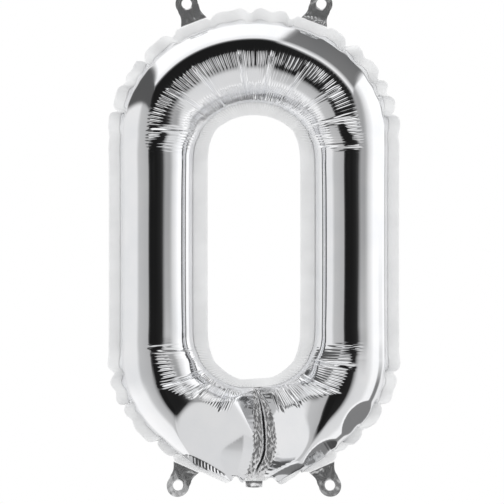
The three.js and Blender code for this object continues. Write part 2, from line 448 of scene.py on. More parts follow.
def fine_places():
    """Places of the fine columns, counted in coarse stations; closer near the ends of the sides."""
    way = np.arange(FINE_SIDE) / FINE_SIDE
    side = SIDE_STEPS * (0.3 * way + 0.35 * (1 - np.cos(math.pi * way)))
    arc = np.arange(FINE_ARC) * ARC_STEPS / FINE_ARC
    half = np.concatenate([side, SIDE_STEPS + arc])
    return np.concatenate([half, half + SIDE_STEPS + ARC_STEPS])


def refine_lap(grid):
    places = fine_places()
    base = np.floor(places).astype(int)
    weights = cubic_weights(places - base)
    total = 0
    for offset, weight in zip((-1, 0, 1, 2), weights):
        total = total + grid[:, (base + offset) % COLUMNS] * weight[None, :, None]
    return total


def refine_rows(grid, count):
    last = len(grid) - 1
    places = np.linspace(0, last, count + 1)
    base = np.minimum(np.floor(places).astype(int), last - 1)
    weights = cubic_weights(places - base)
    padded = np.concatenate([2 * grid[:1] - grid[1:2], grid, 2 * grid[-1:] - grid[-2:-1]])
    total = 0
    for offset, weight in zip((0, 1, 2, 3), weights):
        total = total + padded[base + offset] * weight[:, None, None]
    return total


def normals_of(grid):
    """Unit normals of a sheet whose columns close into a lap; rows run outer to inner."""
    lap = np.roll(grid, -1, 1) - np.roll(grid, 1, 1)
    across = np.gradient(grid, axis=0)
    normal = np.cross(lap, across)
    return normal / (np.linalg.norm(normal, axis=-1)[..., None] + 1e-9)


# ------------------------ even shape of the round ends

SIDE_DEPTH = 29.3  # bulge of one sheet on the straight sides,
TOP_DEPTH = 26.0  # at the top
BOTTOM_DEPTH = 27.5  # and at the bottom
DEPTH_HEIGHTS = (89, 178)  # heights over which one depth passes into the other
SIDE_CREST = 0.503  # place of the crest between the outer and the inner seam
TOP_CREST = 0.30
RIGHT_CREST = 0.06  # the crest of the top lies this much further in on the right
BOTTOM_CREST = 0.42
TOP_CREST_HEIGHTS = (90, 136)
BOTTOM_CREST_HEIGHTS = (90, 145)
RIGHT_CREST_REACH = (5, 55)
END_FALL = 3.0  # power of the fall from the crest to the inner seam
END_FALL_HEIGHTS = (90, 124)
SIDE_SHARE_HEIGHTS = (62, 88)  # the solved film passes into the even shape here
VALLEY_SLOPE = 0.8  # how steeply the film rises beside the crease
VALLEY_LEAST = 0.5  # and how steeply at least, over this far
VALLEY_REACH = 9.0
VALLEY_REST = 0.23  # and how steeply beyond that
VALLEY_EDGE = 1.0  # how far it starts inside the strip's edge
VALLEY_SOFTNESS = 1.2
BACK_CREASE = 0.2  # the back has no strip, so its crease is a narrow valley
FAR_ABOVE = 60.0  # lifts a facet or valley clear of the film where it has none
RIGHT_FACET_END = (-112, -88)  # heights over which the right facet ends
SEAM_REACH = 0.07  # how far into the sheet the buckles of a seam carry
SEAM_REACH_Y = 0.6  # and in depth, as a share of that

# Flat facets beside the crease: a point (x, z, depth), how the depth grows to the right and
# upwards, and how soft the ridge round the facet is.
LEFT_FACET = ((-34.0, -146.0, 17.0), (-0.33, 0.25), 1.4)
RIGHT_FACET = ((17.0, -140.0, 6.0), (0.75, -0.12), 7.0)
# Steep lenses along the outer seam of the front: a point and growth as above, and the ribs' height.
LENSES = (
    ((86.5, -141.0, 5.4), (-1.0, 0.8), 0.02),
    ((55.0, -167.0, 5.4), (-0.62, 1.12), 0.03),
    ((-49.0, -170.0, 4.6), (0.03, 1.54), 0.12),
    ((-25.0, -177.0, 1.6), (0.2, 1.25), 0.07),
    ((21.0, -178.0, 2.4), (-0.15, 1.3), 0.03),
)
FACET_BOW = 0.0012  # how much a facet falls off round its point, per mm squared
FACET_BOW_MOST = 3.0
LENS_CURVE = 0.013  # how much a lens curls up towards its ends
RIB_PITCH = 2.6
LENS_EDGE = 0.7  # softness of the ridge round a lens
# How much lower a line lies at the bottom middle, and the distances aside over which that fades.
SEAM_DROP = (6.5, (30, 80))
HOLE_DROP = (5.0, (4, 40))
DROP_HEIGHTS = (60, 100)  # depth below the centre over which a drop sets in


def row_places():
    """Places of the fine rows: 0 at the outer seam, 1 at the inner seam, close together at both."""
    return (1 - np.cos(math.pi * np.linspace(0, 1, FINE_ROWS + 1))) / 2


def soft_min(a, b, softness):
    mix = np.clip(0.5 + 0.5 * (b - a) / softness, 0, 1)
    return b + mix * (a - b) - softness * mix * (1 - mix)


def facet_depth(facet, x, z):
    (x0, z0, depth), (right, up), _ = facet
    bow = FACET_BOW * ((x - x0) ** 2 + (z - z0) ** 2)
    return depth + right * (x - x0) + up * (z - z0) - np.minimum(bow, FACET_BOW_MOST)


def lens_depth(lens, x, z):
    """A facet that curls up towards both its ends, with ribs across it."""
    (x0, z0, _), (right, up), rib = lens
    along = ((x - x0) * up - (z - z0) * right) / math.hypot(right, up)
    ribs = rib * np.cos(2 * math.pi * along / RIB_PITCH)
    return facet_depth(lens, x, z) + LENS_CURVE * along ** 2 + ribs


def drop_bottom(grid, share, drop, reach):
    """Let the rows of a grid sink by their share of a drop, most at the bottom middle."""
    grid = grid.copy()
    middle = 1 - smooth_step(np.abs(grid[..., 0]), *reach)
    grid[..., 2] -= drop * share * middle * smooth_step(-grid[..., 2], *DROP_HEIGHTS)
    return grid


def even_sheet(facing, outer, inner):
    """One sheet of the tube as an even bulge between its seams, with its flat facets."""
    place = row_places()[:, None]
    sheet = outer * (1 - place[..., None]) + inner * place[..., None]
    x, z = sheet[..., 0], sheet[..., 2]
    high = np.abs(outer[:, 2])
    top = outer[:, 2] > 0

    top_crest = TOP_CREST + RIGHT_CREST * smooth_step(outer[:, 0], *RIGHT_CREST_REACH)
    to_top = (top_crest - SIDE_CREST) * smooth_step(high, *TOP_CREST_HEIGHTS)
    to_bottom = (BOTTOM_CREST - SIDE_CREST) * smooth_step(high, *BOTTOM_CREST_HEIGHTS)
    crest = SIDE_CREST + np.where(top, to_top, to_bottom)
    outside = np.clip((crest - place) / crest, 0, 1)
    inside = np.clip((place - crest) / (1 - crest), 0, 1)
    round_fall = 1 - np.sqrt(1 - inside ** 2)
    fall = round_fall + smooth_step(high, *END_FALL_HEIGHTS) * (inside ** END_FALL - round_fall)
    bulge = np.sqrt(1 - outside ** 2) - fall
    change = np.where(top, TOP_DEPTH, BOTTOM_DEPTH) - SIDE_DEPTH
    y = (SIDE_DEPTH + change * smooth_step(high, *DEPTH_HEIGHTS)) * bulge

    middle, half = crease_spindle(np.linspace(0, 1, FINE_ROWS + 1)[:, None])
    left = soft_min(y, facet_depth(LEFT_FACET, x, z), LEFT_FACET[2])
    away = FAR_ABOVE * smooth_step(z, *RIGHT_FACET_END)
    right = soft_min(y, facet_depth(RIGHT_FACET, x, z) + away, RIGHT_FACET[2])
    lowered = np.where(x < middle, left, right)
    floor_half = half if facing < 0 else BACK_CREASE * half
    beside = np.maximum(np.abs(x - middle) - floor_half + VALLEY_EDGE, 0)
    valley = CREASE_LIFT * bulge + VALLEY_SLOPE * beside + FAR_ABOVE * (z > -SIDE)
    lowered = soft_min(lowered, valley, VALLEY_SOFTNESS)
    least = CREASE_LIFT + VALLEY_LEAST * np.minimum(beside, VALLEY_REACH)
    least = (least + VALLEY_REST * np.maximum(beside - VALLEY_REACH, 0)) * bulge
    lowered = np.maximum(lowered, least)
    if facing < 0:
        for lens in LENSES:
            lowered = soft_min(lowered, lens_depth(lens, x, z), LENS_EDGE)
    sheet[..., 1] = facing * np.where(top, y, lowered)
    return sheet


def fine_sheet(facing, solved, outer, inner):
    """The solved film on the straight sides, the even shape round the ends, seams as solved."""
    rows = np.linspace(0, 1, FINE_ROWS + 1)[:, None, None]
    solved = refine_rows(refine_lap(solved), FINE_ROWS)
    even = even_sheet(facing, outer, inner)
    on_side = 1 - smooth_step(np.abs(outer[:, 2]), *SIDE_SHARE_HEIGHTS)[None, :, None]
    reach = SEAM_REACH * np.array([1, SEAM_REACH_Y, 1])
    shift = (solved[0] - even[0]) * np.exp(-(rows / reach) ** 2)
    shift = shift + (solved[-1] - even[-1]) * np.exp(-((1 - rows) / reach) ** 2)
    return even + on_side * (solved - even) + (1 - on_side) * shift


# ------------------------ pleats and long creases

PLEAT_PITCH = 2.4
PLEAT_HEIGHT = 0.29
PLEAT_SHARPNESS = 1.7
PLEAT_EVENNESS = 0.35  # height of the lowest pleat as a share of PLEAT_HEIGHT,
PLEAT_UNEVENNESS = 0.9  # and what the highest has more
PLEAT_HEIGHTS = (72, 84)  # heights over which the pleats set in
PLEAT_EDGE = 0.035  # places over which a pleat rises
TOP_START = 0.335  # place where the pleats of the top begin,
RIGHT_START = 0.02  # how much nearer to the outer seam on the right,
RIGHT_START_REACH = (15, 50)
TOP_STOP = 0.53  # and where they end
BOTTOM_START = 0.45  # the same at the bottom,
BOTTOM_STOP = 0.66
STRIP_START = 0.24  # and how much further in beside the weld strip
STRIP_STOP = 0.28
BESIDE_STRIP = (48, 62)  # distances from the middle over which that fades
CLEAR_OF_STRIP = (18, 30)  # and over which the pleats set in
SECOND_RISE = 1.2  # the top's pleats come back nearer to the inner seam
SECOND_PLACES = (0.74, 0.78)
PANEL = 24.0  # spacing of the long creases between groups of pleats
PANEL_SPREAD = (0.7, 1.25)
CREASE_DEPTH = 1.05
CREASE_LEAN = 3.0  # how far a long crease may lean across the whole tube
# A long crease: how far from its middle a ridge or groove lies, its width and its share.
CREASE_WAVES = ((0.0, 0.8, 1.0), (1.8, 0.9, -0.6), (-2.1, 0.7, 0.5))
TOP_CREASE_START = 0.35
BOTTOM_CREASE_START = 0.40
STRIP_CREASE_START = 0.26  # how much further in a long crease starts beside the strip
BEAD_PITCH = 1.9  # crinkles of the film on the inner seam
BEAD_HEIGHT = 0.3
BEAD_PLACE, BEAD_WIDTH = 0.965, 0.03
CORNER_PITCH = 2.6  # short wrinkles across the tube where the arcs begin
CORNER_HEIGHT = 0.36
CORNER_AT, CORNER_WIDTH = 79, 3.2
GUIDE_PLACE = 0.58  # row along which the pleats are spaced
LEAN_PLACE = 0.6  # place about which creases lean


def lap_travel(line):
    """Distance along a closed line at each of its points, and the length of the whole line."""
    steps = np.linalg.norm(np.roll(line, -1, 0) - line, axis=1)
    travel = np.concatenate([[0], np.cumsum(steps)[:-1]])
    return travel, travel[-1] + steps[-1]


def wander(rng, travel, pitch):
    """Smooth random values in -1..1 along the lap, one knot every pitch."""
    count = max(4, int(travel[-1] / pitch))
    knots = rng.uniform(-1, 1, count)
    return np.interp(travel / travel[-1] * count, np.arange(count + 1), np.append(knots, knots[0]))


def fine_pleats(rng, travel, whole, place, across, bottom, beside):
    """Heights of the fine pleats: rows of sharp ridges, each with its own height and start."""
    count = round(whole / PLEAT_PITCH)
    phase = travel / whole * count + 0.45 * wander(rng, travel, 7)
    own = rng.uniform(0, 1, count + 4)[np.floor(phase + 1).astype(int)]
    panel = wander(rng, travel, PANEL)
    top_start = TOP_START - RIGHT_START * smooth_step(across, *RIGHT_START_REACH)
    start = np.where(bottom, BOTTOM_START + STRIP_START * beside, top_start) + 0.04 * own + 0.02 * panel
    stop = np.where(bottom, BOTTOM_STOP + STRIP_STOP * beside, TOP_STOP) + 0.04 * panel
    reach = smooth_step(place, start, start + PLEAT_EDGE)
    fade = 1 - 0.9 * smooth_step(place, stop - 0.05, stop + 0.03)
    fade = fade + SECOND_RISE * smooth_step(place, *SECOND_PLACES) * ~bottom
    wave = 2 * (0.5 + 0.5 * np.cos(2 * math.pi * phase)) ** PLEAT_SHARPNESS - 0.8
    return PLEAT_HEIGHT * (PLEAT_EVENNESS + PLEAT_UNEVENNESS * own) * wave * reach * fade


def long_creases(rng, travel, place, bottom, beside):
    """Heights of the long creases that part the pleats into groups."""
    total = 0
    here = 0.0
    while here < travel[-1]:
        here += PANEL * rng.uniform(*PANEL_SPREAD)
        lean = rng.uniform(-CREASE_LEAN, CREASE_LEAN)
        away = travel[None, :] - here - lean * (place - LEAN_PLACE)
        groove = sum(share * np.exp(-((away - at) / width) ** 2) for at, width, share in CREASE_WAVES)
        depth = CREASE_DEPTH * rng.uniform(0.6, 1.1)
        low = np.where(bottom, BOTTOM_CREASE_START + STRIP_CREASE_START * beside, TOP_CREASE_START)
        reach = smooth_step(place, low, low + 0.1) * (1 - 0.6 * smooth_step(place, 0.9, 1))
        total = total - depth * groove * reach
    return total


def bead(rng, travel, place):
    """Heights of the crinkles along the inner seam."""
    wave = np.cos(2 * math.pi * travel / BEAD_PITCH + 2.2 * wander(rng, travel, 4))
    return BEAD_HEIGHT * wave * np.exp(-((place - BEAD_PLACE) / BEAD_WIDTH) ** 2)


def corner_wrinkles(rng, travel, place, height):
    """Heights of the short wrinkles across the tube, where the straight sides end."""
    lean = 5 * (place - LEAN_PLACE) * np.sign(height)
    at_corner = np.exp(-((np.abs(height) - CORNER_AT + 4 * (place - 0.5)) / CORNER_WIDTH) ** 2)
    wave = np.cos(2 * math.pi * (height + lean) / CORNER_PITCH + 2.4 * wander(rng, travel, 4))
    across_tube = smooth_step(place, 0.34, 0.44) * (1 - smooth_step(place, 0.72, 0.9))
    return CORNER_HEIGHT * at_corner * wave * across_tube


def pleat(sheet, seed):
    """Press pleats and long creases into the inner half of the round ends of a fine sheet."""
    rng = np.random.default_rng(seed)
    guide = sheet[int(GUIDE_PLACE * FINE_ROWS)]
    travel, whole = lap_travel(guide)
    place = row_places()[:, None]
    across, height = guide[:, 0], guide[:, 2]
    bottom = height < 0
    beside = np.where(bottom, 1 - smooth_step(np.abs(across), *BESIDE_STRIP), 0)
    ends = smooth_step(np.abs(height), *PLEAT_HEIGHTS)
    strength = ends * np.where(bottom, smooth_step(np.abs(across), *CLEAR_OF_STRIP), 1)

    lift = strength * fine_pleats(rng, travel, whole, place, across, bottom, beside)
    lift = lift + strength * long_creases(rng, travel, place, bottom, beside)
    lift = lift + ends * bead(rng, travel, place)
    lift = lift + corner_wrinkles(rng, travel, place, height)
    lift = lift * (1 - 0.7 * smooth_step(place, 0.985, 1.0))
    return sheet + normals_of(sheet) * lift[..., None]


PUCKER_PITCH = 3.1  # puckers of the film beside the crease
PUCKER_HEIGHT = 0.55
PUCKER_REACH = 3.2
FLANGE_WRINKLE = 0.22
FLANGE_PITCH = 2.3
FLANGE_FADE = 3.2  # how fast the wrinkles die down towards the hole


def pucker_crease(sheet):
    """Pucker the front film along both sides of the crease."""
    share = np.linspace(0, 1, len(sheet))[:, None]
    middle, half = crease_spindle(share)
    x, z = sheet[..., 0], sheet[..., 2]
    beyond = np.abs(x - middle) - half
    near = np.exp(-((beyond - 0.5) / PUCKER_REACH) ** 2) * smooth_step(-z, SIDE, SIDE + 12)
    phase = 2 * math.pi * z / PUCKER_PITCH + 0.8 * np.sin(z / 5.3)
    wave = np.cos(phase + np.where(x > middle, 0, 1.7))
    lift = PUCKER_HEIGHT * near * wave * np.sin(math.pi * share) ** 0.6
    return sheet + normals_of(sheet) * lift[..., None]


def wrinkle_flange(grid, seed):
    """Fine radial wrinkles of the inner flange where it bends round the ends."""
    rng = np.random.default_rng(seed)
    travel, _ = lap_travel(grid[0])
    fade = np.exp(-np.linspace(0, FLANGE_FADE, len(grid)))[:, None]
    ends = smooth_step(np.abs(grid[0, :, 2]), 66, 84)
    wave = np.cos(2 * math.pi * travel / FLANGE_PITCH + 2.0 * wander(rng, travel, 5))
    grid = grid.copy()
    grid[..., 1] += FLANGE_WRINKLE * fade * (ends * wave * (1 + wander(rng, travel, 9)))[None, :]
    return grid


# ------------------------ meshes

FLANGE_THICKNESS = 0.15  # drawn thicker than the film, so that it renders cleanly
STRIP_THICKNESS = 0.08
TAB_THICKNESS = 0.12
LIP_THICKNESS = 0.1


def to_world(points):
    """Millimetres round the digit's centre to metres in the frame."""
    return np.asarray(points).reshape(-1, 3) * MM + np.array(CENTRE)


def add_object(name, data):
    thing = bpy.data.objects.new(name, data)
    bpy.context.scene.collection.objects.link(thing)
    return thing


def add_mesh(name, vertices, faces, material, body):
    mesh = bpy.data.meshes.new(name)
    mesh.from_pydata([tuple(v) for v in vertices], [], faces)
    mesh.validate()
    mesh.polygons.foreach_set("use_smooth", [True] * len(mesh.polygons))
    mesh.materials.append(material)
    piece = add_object(name, mesh)
    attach(piece, body)
    return piece


def lap_faces(rows, columns, flip=False, closed=True):
    faces = []
    for r in range(rows - 1):
        for c in range(columns if closed else columns - 1):
            d = (c + 1) % columns
            face = (r * columns + c, r * columns + d, (r + 1) * columns + d, (r + 1) * columns + c)
            faces.append(face[::-1] if flip else face)
    return faces


def thicken(piece, thickness):
    modifier = piece.modifiers.new("Film thickness", "SOLIDIFY")
    modifier.thickness = thickness * MM
    modifier.offset = 0
    return piece


def add_lap(name, grid, flip, material, node, thickness=0.0):
    """A closed lap of film on the balloon's body, in place of its CAD node."""
    faces = lap_faces(len(grid), grid.shape[1], flip)
    piece = add_mesh(name, to_world(grid), faces, material, "balloon")
    if thickness:
        thicken(piece, thickness)
    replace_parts(piece, node)


# ------------------------ weld strip, tabs and mouth

def crumple(x, z, seed, count, low, high):
    """Random sharp folds: 0 to 1, with fold spacings between low and high."""
    rng = np.random.default_rng(seed)
    total, weights = np.zeros(np.broadcast(x, z).shape), 0
    for _ in range(count):
        spacing = rng.uniform(low, high)
        turn = rng.uniform(0, math.pi)
        place = (x * math.cos(turn) + z * math.sin(turn)) / spacing + rng.uniform(0, 1)
        total += spacing * np.abs(2 * (place % 1) - 1)
        weights += spacing
    return total / weights


STRIP_ROWS = 150
STRIP_COLUMNS = 60
STRIP_LIFT = 0.5  # how far the strip stands off the crease
STRIP_CRUMPLE = 3.4  # height of its folds
STRIP_ENDS = (0.015, 0.985)
STRIP_LAP = 0.4  # how far its edges lie past the crease
LONG_FOLDS = (10, 3.5, 8.0)  # how many directions, and their least and most spacing
SHORT_FOLDS = (12, 1.6, 3.6)
LONG_FOLD_SHARE = 0.65
STRIP_GROOVE = 1.8  # depth and width of the groove along its middle
STRIP_GROOVE_WIDTH = 0.11


def make_strip():
    """Crinkled spindle of film welded over the crease."""
    share = np.linspace(*STRIP_ENDS, STRIP_ROWS)[:, None]
    middle, half = crease_spindle(share)
    across = np.linspace(-1, 1, STRIP_COLUMNS)[None, :]
    edge = 1 + 0.05 * np.sin(share * 95) + 0.04 * np.sin(share * 41 + 1)
    x = middle + across * (half * edge + STRIP_LAP)
    z = -(OUTER_H + (INNER_H - OUTER_H) * (1 - np.cos(math.pi * share)) / 2) + 0 * across
    soft_edge = smooth_step(1 - np.abs(across), 0, 0.12)
    long_folds = crumple(x, 0.22 * z, SEED, *LONG_FOLDS) - 0.4
    short_folds = crumple(x, 0.7 * z, SEED + 1, *SHORT_FOLDS) - 0.4
    folds = LONG_FOLD_SHARE * long_folds + (1 - LONG_FOLD_SHARE) * short_folds
    groove = np.exp(-((across + 0.15 - 0.25 * share) / STRIP_GROOVE_WIDTH) ** 2)
    height = CREASE_LIFT * np.sin(math.pi * share) + STRIP_LIFT
    y = -(height + (STRIP_CRUMPLE * folds - STRIP_GROOVE * groove) * soft_edge)
    outer_share = (1 + np.cos(math.pi * share)) / 2
    grid = drop_bottom(np.stack([x, y, z], -1), outer_share, *SEAM_DROP)
    faces = lap_faces(STRIP_ROWS, STRIP_COLUMNS, closed=False)
    strip = add_mesh("weld_strip", to_world(grid), faces, STRIP, "balloon")
    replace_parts(thicken(strip, STRIP_THICKNESS), "crease_weld_strip")


TAB_RAYS = 144
TAB_RINGS = 14
TAB_GAP = 0.15  # between the tab's root and the flange
TAB_CREASED = (2.0, 7.5)  # distances from the root over which its creases fade
TAB_RIPPLE = 0.12
TAB_RIM = 0.1  # height of the burr round the punched hole
# For each tab: random seed, bow towards the front, twist and depth of the creases at its root.
TAB_FORMS = {
    "tab_top_left": (1, 0.5, -0.4, 0.8),
    "tab_top_right": (2, -0.6, 1.1, 3.0),
    "tab_bottom_left": (3, 3.2, 1.4, 1.4),
    "tab_bottom_right": (4, 3.0, -1.6, 1.2),
}


def tab_outline():
    """Distance of the tab's outline from its hole centre, at equal angles."""
    t = np.linspace(0, 1, 30)
    fillet = np.column_stack([
        (1 - t) ** 2 * TAB_ROOT_HALF + (1 - (1 - t) ** 2) * TAB_NECK_HALF,
        (1 - t) ** 2 * TAB_GAP + 2 * t * (1 - t) * 0.4 * TAB_NECK_TOP + t ** 2 * TAB_NECK_TOP])
    turn = np.linspace(-0.3, math.pi + 0.3, 90)
    round_end = np.column_stack([TAB_ROUND * np.cos(turn), TAB_HOLE_REACH + TAB_ROUND * np.sin(turn)])
    root = np.column_stack([np.linspace(-TAB_ROOT_HALF, TAB_ROOT_HALF, 40), np.full(40, TAB_GAP)])
    left = fillet[::-1] * (-1, 1)
    line = np.vstack([root, fillet, round_end, left]) - (0, TAB_HOLE_REACH)
    angle = np.arctan2(line[:, 1], line[:, 0])
    order = np.argsort(angle)
    rays = np.linspace(-math.pi, math.pi, TAB_RAYS, endpoint=False)
    return rays, np.interp(rays, angle[order], np.linalg.norm(line, axis=1)[order], period=2 * math.pi)


def make_tab(name):
    """Thin holed tab, a little bowed and twisted, with a creased root."""
    foot, out, side = TAB_FEET[name]
    seed, bow, twist, creased = TAB_FORMS[name]
    rays, reach = tab_outline()
    ring = (np.linspace(0, 1, TAB_RINGS + 1) ** 0.8)[:, None]
    radius = TAB_HOLE + (reach[None, :] - TAB_HOLE) * ring
    u = radius * np.cos(rays)
    v = TAB_HOLE_REACH + radius * np.sin(rays)
    up = v / TAB_HOLE_REACH
    root = 1 - smooth_step(v, *TAB_CREASED)
    y = bow * up * (up - 0.4) + twist * u * up / TAB_ROUND
    y += creased * root * smooth_step(v, 0, 1.2) * (crumple(u, v, seed, 9, 1.2, 5.0) - 0.5)
    y += TAB_RIPPLE * np.sin(u * 0.9 + seed) * np.sin(v * 0.7)
    y += TAB_RIM * np.exp(-((radius - TAB_HOLE) / 0.5) ** 2)
    middle = np.array([foot[0], 0.0, foot[1]])
    grid = middle + u[..., None] * side + v[..., None] * out
    grid[..., 1] -= y
    piece = add_mesh(name + "_film", to_world(grid), lap_faces(TAB_RINGS + 1, TAB_RAYS), TAB, name)
    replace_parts(thicken(piece, TAB_THICKNESS), name)


MOUTH_LENGTH = 5.0
MOUTH_OPENING = 1.5  # how far each lip curls out at its end
LIP_ROWS = 16
LIP_COLUMNS = 41


def make_lip(name, facing):
    """One lip of the filling mouth, curled a little away from the other."""
    root_z = (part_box(name)[1].z - CENTRE.z) / MM
    across = np.linspace(-1, 1, LIP_COLUMNS)[None, :]
    down = np.linspace(0, 1, LIP_ROWS)[:, None]
    belly = (1 - across ** 2) ** 0.8
    x = across * MOUTH_WIDTH / 2 * (1 - 0.05 * down)
    z = root_z + 0.2 - MOUTH_LENGTH * down - 0.5 * down * belly * (facing < 0)
    wave = 0.12 * np.sin(9 * across + 3 * down) * down
    y = facing * (0.3 + MOUTH_OPENING * belly * smooth_step(down, 0.1, 1.0) + wave)
    grid = np.stack([x, y, z], -1)
    faces = lap_faces(LIP_ROWS, LIP_COLUMNS, facing < 0, closed=False)
    body = name.replace("_flap", "")
    piece = add_mesh(name.replace("flap", "lip"), to_world(grid), faces, STRIP, body)
    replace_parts(thicken(piece, LIP_THICKNESS), name)


# ------------------------ materials

def new_material(name, colour, metallic, roughness):
    material = bpy.data.materials.new(name)
    material.use_nodes = True
    shader = material.node_tree.nodes["Principled BSDF"]
    shader.inputs["Base Color"].default_value = (*colour, 1)
    shader.inputs["Metallic"].default_value = metallic
    shader.inputs["Roughness"].default_value = roughness
    return material, material.node_tree, shader


def noise_node(tree, scale, detail, roughness=0.5):
    node = tree.nodes.new("ShaderNodeTexNoise")
    node.inputs["Scale"].default_value = scale
    node.inputs["Detail"].default_value = detail
    node.inputs["Roughness"].default_value = roughness
    place = tree.nodes.new("ShaderNodeTexCoord")
    tree.links.new(place.outputs["Object"], node.inputs["Vector"])
    return node


def add_ramp(tree, source, stops):
    ramp = tree.nodes.new("ShaderNodeValToRGB")
    tree.links.new(source, ramp.inputs["Fac"])
    elements = ramp.color_ramp.elements
    elements[0].position, elements[0].color = stops[0][0], (*stops[0][1], 1)
    elements[1].position, elements[1].color = stops[-1][0], (*stops[-1][1], 1)
    for position, colour in stops[1:-1]:
        elements.new(position).color = (*colour, 1)
    return ramp


def add_bump(tree, shader, source, strength, distance):
    bump = tree.nodes.new("ShaderNodeBump")
    bump.inputs["Strength"].default_value = strength
    bump.inputs["Distance"].default_value = distance
    tree.links.new(source, bump.inputs["Height"])
    tree.links.new(bump.outputs["Normal"], shader.inputs["Normal"])


def vary_colour(tree, shader, source, low, high):
    tint = add_ramp(tree, source, ((0.3, low), (0.7, high)))
    tree.links.new(tint.outputs["Color"], shader.inputs["Base Color"])


def vary_roughness(tree, shader, source, low, high):
    spread = tree.nodes.new("ShaderNodeMapRange")
    spread.inputs["To Min"].default_value = low
    spread.inputs["To Max"].default_value = high
    tree.links.new(source, spread.inputs["Value"])
    tree.links.new(spread.outputs["Result"], shader.inputs["Roughness"])


def foil_material():
    """Mirror-bright metallised film with a faint haze."""
    material, tree, shader = new_material("mirror_foil", (0.9, 0.905, 0.92), 1.0, 0.06)
    haze = noise_node(tree, 38, 5)
    vary_roughness(tree, shader, haze.outputs["Fac"], 0.03, 0.10)
    vary_colour(tree, shader, haze.outputs["Fac"], (0.87, 0.88, 0.90), (0.93, 0.93, 0.94))
    fine = noise_node(tree, 420, 3)
    add_bump(tree, shader, fine.outputs["Fac"], 0.12, 0.00003)
    return material


def weld_material(name, colour, metallic, roughness, stippling):
    """Film dulled by the heat weld, with the weld's fine stipple."""
    material, tree, shader = new_material(name, colour, metallic, roughness)
    blotch = noise_node(tree, 60, 4)
    vary_colour(tree, shader, blotch.outputs["Fac"], tuple(0.93 * c for c in colour), colour)
    stipple = noise_node(tree, 900, 2, 0.7)
    add_bump(tree, shader, stipple.outputs["Fac"], stippling, 0.00008)
    vary_roughness(tree, shader, blotch.outputs["Fac"], roughness - 0.08, roughness + 0.08)
    return material


def valve_material():
    """Milky polyethylene film."""
    material, tree, shader = new_material("valve_film", (0.9, 0.91, 0.91), 0.0, 0.35)
    cloud = noise_node(tree, 90, 3)
    vary_colour(tree, shader, cloud.outputs["Fac"], (0.82, 0.84, 0.84), (0.93, 0.94, 0.94))
    return material


FOIL = foil_material()
WELD = weld_material("welded_film", (0.95, 0.955, 0.96), 0.12, 0.5, 0.35)
STRIP = weld_material("puckered_film", (0.9, 0.9, 0.91), 0.82, 0.16, 0.08)
TAB = weld_material("tab_film", (0.78, 0.785, 0.79), 0.85, 0.2, 0.2)
VALVE = valve_material()

# ------------------------ camera, light and floor

CAMERA_DISTANCE = 1.8
VIEW_WIDTH = 0.4032  # width seen in the plane of the balloon
VIEW_LEFT = 0.0016  # how far left of and below the hole's middle it is centred
VIEW_BELOW = 0.0046
FLOOR_DROP = 0.6  # how far the floor lies below the balloon
FLOOR_RADIUS = 1.9
FLOOR_SIDES = 96


def make_camera():
    data = bpy.data.cameras.new("camera")
    data.lens_unit = "FOV"
    data.angle = 2 * math.atan(VIEW_WIDTH / 2 / CAMERA_DISTANCE)
    camera = add_object("camera", data)
    camera.location = (CENTRE.x - VIEW_LEFT, -CAMERA_DISTANCE, CENTRE.z - VIEW_BELOW)
    camera.rotation_euler = (math.pi / 2, 0, 0)
    bpy.context.scene.camera = camera


def make_floor():
    """Round pale floor well below the hanging balloon."""
    z = cad_low.z - FLOOR_DROP
    turns = [2 * math.pi * i / FLOOR_SIDES for i in range(FLOOR_SIDES)]
    rim = [(FLOOR_RADIUS * math.cos(turn), FLOOR_RADIUS * math.sin(turn), z) for turn in turns]
    mesh = bpy.data.meshes.new("floor")
    mesh.from_pydata(rim, [], [tuple(range(FLOOR_SIDES))])
    material, tree, shader = new_material("pale_floor", (0.9, 0.9, 0.9), 0.0, 0.8)
    cloud = noise_node(tree, 3, 2)
    vary_colour(tree, shader, cloud.outputs["Fac"], (0.88, 0.88, 0.88), (0.92, 0.92, 0.92))
    mesh.materials.append(material)
    floor = add_object("floor", mesh)
    floor.visible_glossy = False  # the foil mirrors the studio light, not the floor


# The studio's light by direction in the world: brightness against the angle in degrees away from
# the balloon's front, in sectors of the clock round that line (0 right, 90 up, -90 down). A sector
# is its first and last clock angle, each with its blur, and its brightness.
WHITE = 1.12
DARK = 0.012
SOFT = 1.1  # even light on matt surfaces
